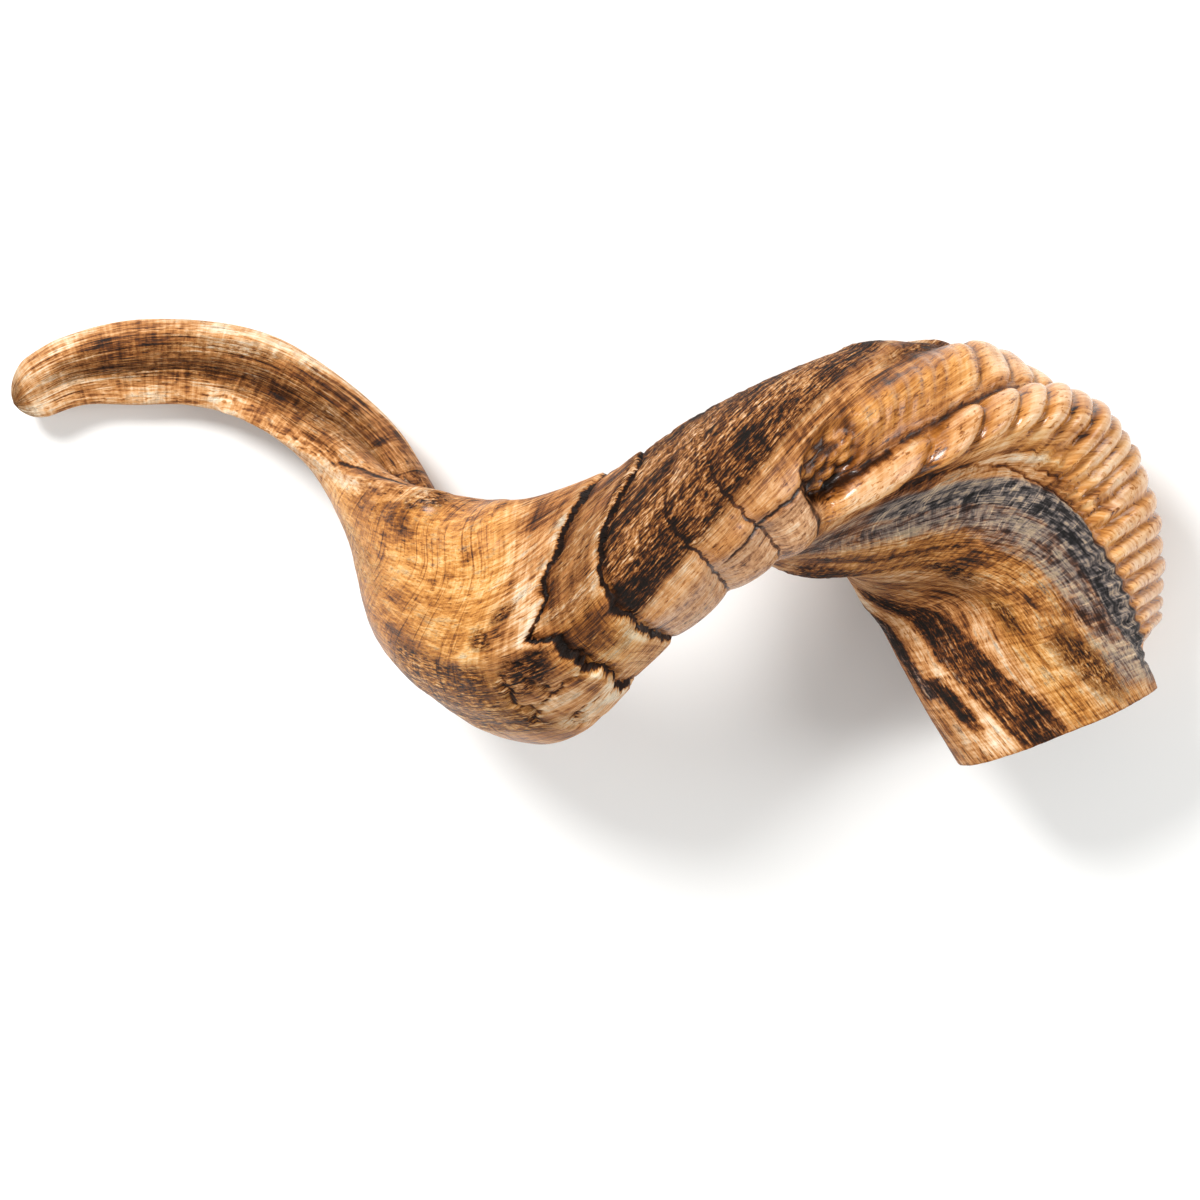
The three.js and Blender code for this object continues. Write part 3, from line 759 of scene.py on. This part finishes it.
# The colours of each tone, dark to light, and the look and share with which they are laid over the first.
COLOURS = [
    (None, 1.0, [(0.0, "#110701"), (0.18, "#2F1504"), (0.34, "#703D14"), (0.48, "#A86C36"),
                 (0.6, "#C78D54"), (0.74, "#E0B68A"), (0.95, "#F3DFC2")]),
    ("gold", 0.85, [(0.0, "#1A0D04"), (0.18, "#4C2609"), (0.34, "#90541A"), (0.48, "#BE7B30"),
                    (0.6, "#DA9848"), (0.74, "#EDBB74"), (0.95, "#F3DAAC")]),
    ("pink", 0.7, [(0.0, "#160F0A"), (0.18, "#3E291C"), (0.34, "#7D563C"), (0.48, "#B28560"),
                   (0.6, "#CDA07A"), (0.74, "#E0BD9A"), (0.95, "#F2DEC4")]),
    ("grey", 0.85, [(0.0, "#100F0F"), (0.14, "#2C2A2B"), (0.28, "#575454"), (0.4, "#857D76"),
                    (0.54, "#B0A08C"), (0.74, "#CDB697"), (0.95, "#EADBC2")])]
# the fine relief that light catches: mm of height for a pattern's full swing, as a share of BUMP_MM
BUMPS = {"fibres": 0.16, "streaks": 0.15, "rings": 0.06, "mottle": 0.1}
BUMP_MM = 4
KERATIN_IOR = 1.54


def weathered_keratin():
    """Dried, weathered horn keratin, grown in layers and worn by handling.

    The layers show as long fibres crossed by growth lines; where the outside is worn off it is cream to
    golden and shines softly, and where it is left it is a dull dark bark."""
    material = bpy.data.materials.new("weathered_keratin")
    material.use_nodes = True
    tree = material.node_tree
    tree.nodes.clear()
    put = partial(add, tree)

    stored = {name: put(("ShaderNodeAttribute", {"attribute_name": name})).outputs
              for name in ["grain", *LOOKS, *SEAMS]}
    grain = stored["grain"]["Vector"]
    looks = {name: stored[name]["Fac"] for name in LOOKS}
    patterns = {
        name: put("ShaderNodeTexNoise", Vector=grain_at(tree, grain, along, across, shift), Scale=1.0,
                  Detail=detail, Roughness=roughness)
        for name, (along, across, detail, roughness, shift) in PATTERNS.items()}

    def ragged(amount, spread, low, high):
        """A look's edge broken up by the mean of four patterns."""
        mean = put(MULTIPLY, put(ADD, put(ADD, patterns["streaks"], patterns["clouds"]),
                                 put(ADD, patterns["fibres"], patterns["mottle"])), 0.25)
        return put(SMOOTH_STEP, put(MULTIPLY_ADD, put(SUBTRACT, mean, 0.5), spread, amount), low, high)

    for name, edge in FRAYED.items():
        looks[name] = ragged(looks[name], *edge)
    looks["calm"] = put(MULTIPLY_ADD, looks["gloss"], -0.5, 1.0)

    swings = {name: put(SUBTRACT, pattern, 0.5) for name, pattern in patterns.items() if name not in MARKS}
    swings.update({name: put(SMOOTH_STEP, patterns[name], *ends) for name, ends in MARKS.items()})
    swings["light_fibres"] = put(SMOOTH_STEP, patterns["fibres"], 0.5, 0.66)
    nodules = put(ROUND_CELLS, Vector=grain_at(tree, grain, *NODULE), Scale=1.0)
    swings["nodule_gaps"] = put(SMOOTH_STEP, put(MULTIPLY_ADD, swings["mottle"], 0.8, nodules), 0.42, 0.7)
    squares = put(SQUARE_CELLS, Vector=grain_at(tree, grain, *SQUARE), Scale=1.0)
    swings["square_gaps"] = put(SMOOTH_STEP, squares, 0.26, 0.5)

    tone = BARE_TONE
    for name, share in LOOK_TONES.items():
        tone = put(MULTIPLY_ADD, looks[name], share, tone)
    for name, share, where in PATTERN_TONES:
        tone = put(MULTIPLY_ADD, put(MULTIPLY, swings[name], share), looks[where], tone)

    # seams stray in long bends and small jags; each has a pale lip on the tip's side, partly a flaking edge
    # and partly painted highlight, and painted shade before it
    jagged = put(MULTIPLY_ADD, swings["straying"], 2.4, put(MULTIPLY, swings["flecks"], 0.8))
    seam_gap = 0.0
    for name, (gape, dark, edge) in SEAMS.items():
        seam = put("ShaderNodeSeparateXYZ", stored[name]["Vector"]).outputs
        past, shown = put(ADD, seam[0], jagged), seam[1]
        # pale lip: partly a flaking edge, partly painted highlight
        lip = put(MULTIPLY, put(SMOOTH_STEP, past, gape, gape + 0.3),
                  put(SUBTRACT, 1.0, put(SMOOTH_STEP, past, 1.2, 3.2)))
        # painted shade before the seam, where its edge would shade it
        seam_shade = put(MULTIPLY, put(SMOOTH_STEP, past, -3.5, -gape),
                    put(SUBTRACT, 1.0, put(SMOOTH_STEP, past, 0.0, gape)))
        tone = put(MULTIPLY_ADD, put(MULTIPLY, put(SUBTRACT, lip, seam_shade), shown), edge, tone)
        gap = put(SUBTRACT, 1.0, put(SMOOTH_STEP, put(ABSOLUTE, past), gape * 0.55, gape))
        seam_gap = put(MAXIMUM, put(MULTIPLY, put(MULTIPLY, gap, shown), dark), seam_gap)
    # cracks and seams open and close along their length
    seam_gap = put(MULTIPLY, seam_gap, put(MULTIPLY_ADD, swings["gaping"], 0.3, 0.7))
    # the crack look is cracks, and painted shade in the creases, between the knobs and below the lip
    crack = put(SMOOTH_STEP, put(MULTIPLY_ADD, swings["mottle"], 0.6, looks["crack"]), 0.25, 0.8)
    crack = put(MULTIPLY, crack, put(MULTIPLY_ADD, swings["gaping"], 0.55, 0.45))
    tone = put(MULTIPLY, tone, put(MULTIPLY_ADD, put(MAXIMUM, crack, seam_gap), -0.88, 1.0))

    colour = None
    for name, share, stops in COLOURS:
        ramp = put("ShaderNodeValToRGB", tone)
        while len(ramp.color_ramp.elements) < len(stops):
            ramp.color_ramp.elements.new(0.5)
        for element, (position, code) in zip(ramp.color_ramp.elements, stops):
            element.position = position
            element.color = linear(code)
        colour = ramp if colour is None else put(
            COLOUR_MIX, in_0=put(MULTIPLY, looks[name], share), in_6=colour, in_7=ramp).outputs[2]

    roughness = put(MULTIPLY_ADD, put(MAXIMUM, looks["bark"], looks["char"]), 0.25, 0.5)
    roughness = put(MULTIPLY_ADD, looks["gloss"], -0.28, roughness)
    roughness = put(MULTIPLY_ADD, swings["mottle"], 0.15, roughness)
    height = put(MULTIPLY, put(MULTIPLY, patterns["flecks"], looks["bark"]), 0.3)
    for name, share in BUMPS.items():
        height = put(MULTIPLY_ADD, patterns[name], share, height)
    height = put(MULTIPLY, height, put(MULTIPLY_ADD, looks["gloss"], -0.7, 1.0))
    shader = put("ShaderNodeBsdfPrincipled", Base_Color=colour, Roughness=roughness, IOR=KERATIN_IOR,
                 Specular_IOR_Level=0.2, Coat_Weight=put(MULTIPLY, looks["gloss"], 0.55), Coat_Roughness=0.17,
                 Normal=put("ShaderNodeBump", Strength=1.0, Distance=MM * BUMP_MM, Height=height))
    put("ShaderNodeOutputMaterial", Surface=shader)
    return material


# mm of relief at each pattern's full height
RELIEF_SIZES = {"Fibre height": 0.5, "Bark height": 1.1, "Nodule height": 2.4, "Grid height": 0.9}
RELIEF_SEED = 4


def growth_relief(material):
    """Nodes that raise the small relief that follows the grain: fibre, bark, grid and pit nodules."""
    tree = bpy.data.node_groups.new("growth_relief", "GeometryNodeTree")
    put = partial(add, tree)
    face = tree.interface
    face.new_socket("Geometry", in_out="OUTPUT", socket_type="NodeSocketGeometry")
    face.new_socket("Geometry", in_out="INPUT", socket_type="NodeSocketGeometry")
    for name, value in RELIEF_SIZES.items():
        face.new_socket(name, in_out="INPUT", socket_type="NodeSocketFloat").default_value = value
    face.new_socket("Seed", in_out="INPUT", socket_type="NodeSocketInt").default_value = RELIEF_SEED
    given = put("NodeGroupInput").outputs

    grain = put(("GeometryNodeInputNamedAttribute", {"data_type": "FLOAT_VECTOR"}), Name="grain")
    looks = {name: put(("GeometryNodeInputNamedAttribute", {"data_type": "FLOAT"}), Name=name)
             for name in ("bark", "char", "pit", "grid")}
    # ridges of fibre and lumps of bark, in mm along and across
    ridges, lumps = (
        put(SUBTRACT, put(("ShaderNodeTexNoise", {"noise_dimensions": "4D"}), W=given["Seed"], Scale=1.0,
                          Detail=detail, Vector=grain_at(tree, grain, along, across)), 0.5)
        for along, across, detail in ((14, 2.2, 2.0), (3.5, 1.8, 3.0)))
    nodules = put(SUBTRACT, 0.45, put(ROUND_CELLS, Vector=grain_at(tree, grain, *NODULE), Scale=1.0))
    squares = put(SUBTRACT, 0.4, put(SQUARE_CELLS, Vector=grain_at(tree, grain, *SQUARE), Scale=1.0))
    height = put(MULTIPLY, ridges, given["Fibre height"])
    for pattern, where, size in [
            (lumps, put(MULTIPLY_ADD, looks["char"], 0.5, looks["bark"]), "Bark height"),
            (nodules, looks["pit"], "Nodule height"), (squares, looks["grid"], "Grid height")]:
        height = put(MULTIPLY_ADD, put(MULTIPLY, pattern, where), given[size], height)
    push = put(("ShaderNodeVectorMath", {"operation": "SCALE"}), put("GeometryNodeInputNormal"),
               Scale=put(MULTIPLY, height, MM))
    moved = put("GeometryNodeSetPosition", Geometry=given["Geometry"], Offset=push)
    real = put("GeometryNodeRealizeInstances", Geometry=moved)
    put("NodeGroupOutput", Geometry=put("GeometryNodeSetMaterial", Geometry=real, Material=material))
    return tree


def horn_sheath():
    """The whole sheath with its fine relief, as one plain mesh."""
    rough = bpy.data.objects.new("horn_rough", sheath_mesh())
    bpy.context.scene.collection.objects.link(rough)
    modifier = rough.modifiers.new("growth_relief", "NODES")
    modifier.node_group = growth_relief(weathered_keratin())
    sizes = {**RELIEF_SIZES, "Seed": RELIEF_SEED}
    for item in modifier.node_group.interface.items_tree:
        if item.in_out == "INPUT" and item.name in sizes:
            modifier[item.identifier] = sizes[item.name]
    seen = bpy.context.evaluated_depsgraph_get()
    mesh = bpy.data.meshes.new_from_object(rough.evaluated_get(seen))
    mesh.name = "horn_sheath_grown"
    horn = bpy.data.objects.new("horn_sheath", mesh)
    bpy.context.scene.collection.objects.link(horn)
    bpy.data.objects.remove(rough)
    return horn


horn = horn_sheath()
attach(horn, "root")
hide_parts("horn")


# ---------------------------------------------------------------- floor, light and camera
FLOOR_HALF = 3.0
CAMERA_AWAY = 1000
AIM = Vector((0, 0, 0.03))
# place, disk size in metres, watts
LIGHTS = {"key": ((-0.45, 0.6, 0.75), 0.35, 12), "fill": ((0.8, 0.1, 0.7), 0.6, 4.5),
          "front": ((-0.1, -0.75, 0.6), 0.6, 2)}
SKY_STRENGTH = 0.42


def pale_floor():
    """A white floor under the horn."""
    corners = [(-FLOOR_HALF, -FLOOR_HALF, 0), (FLOOR_HALF, -FLOOR_HALF, 0), (FLOOR_HALF, FLOOR_HALF, 0),
               (-FLOOR_HALF, FLOOR_HALF, 0)]
    mesh = bpy.data.meshes.new("floor")
    mesh.from_pydata(corners, [], [(0, 1, 2, 3)])
    floor = bpy.data.objects.new("floor", mesh)
    bpy.context.scene.collection.objects.link(floor)
    # uncoated white paper: scatters light evenly, with no shine
    material = bpy.data.materials.new("matt_white_paper")
    material.use_nodes = True
    shader = material.node_tree.nodes["Principled BSDF"]
    shader.inputs["Base Color"].default_value = linear("#FAFAF8")
    shader.inputs["Roughness"].default_value = 0.9
    mesh.materials.append(material)
    return floor


pale_floor()
for name, (place, size, power) in LIGHTS.items():
    light = bpy.data.lights.new(name, "AREA")
    light.shape = "DISK"
    light.size = size
    light.energy = power
    lamp = bpy.data.objects.new(name, light)
    lamp.location = place
    lamp.rotation_euler = (AIM - Vector(place)).to_track_quat("-Z", "Y").to_euler()
    bpy.context.scene.collection.objects.link(lamp)
world = bpy.data.worlds.new("studio")
world.use_nodes = True
sky = world.node_tree.nodes["Background"]
sky.inputs["Color"].default_value = (1, 1, 1, 1)
sky.inputs["Strength"].default_value = SKY_STRENGTH
bpy.context.scene.world = world
bpy.context.scene.view_settings.view_transform = "Standard"

# the camera looks straight down on the upright drawing, which lies turned on the table
camera_data = bpy.data.cameras.new("camera")
camera_data.lens = 120
camera_data.sensor_width = 36
camera_data.clip_end = 10
camera = bpy.data.objects.new("camera", camera_data)
lie = Matrix.Rotation(LAY_Y, 4, "Y") @ Matrix.Rotation(LAY_X, 4, "X")
camera.matrix_world = Matrix.Translation(Vector(LAY_SHIFT * MM)) @ lie @ Matrix.Translation(
    (0, 0, CAMERA_AWAY * MM))
bpy.context.scene.collection.objects.link(camera)
bpy.context.scene.camera = camera
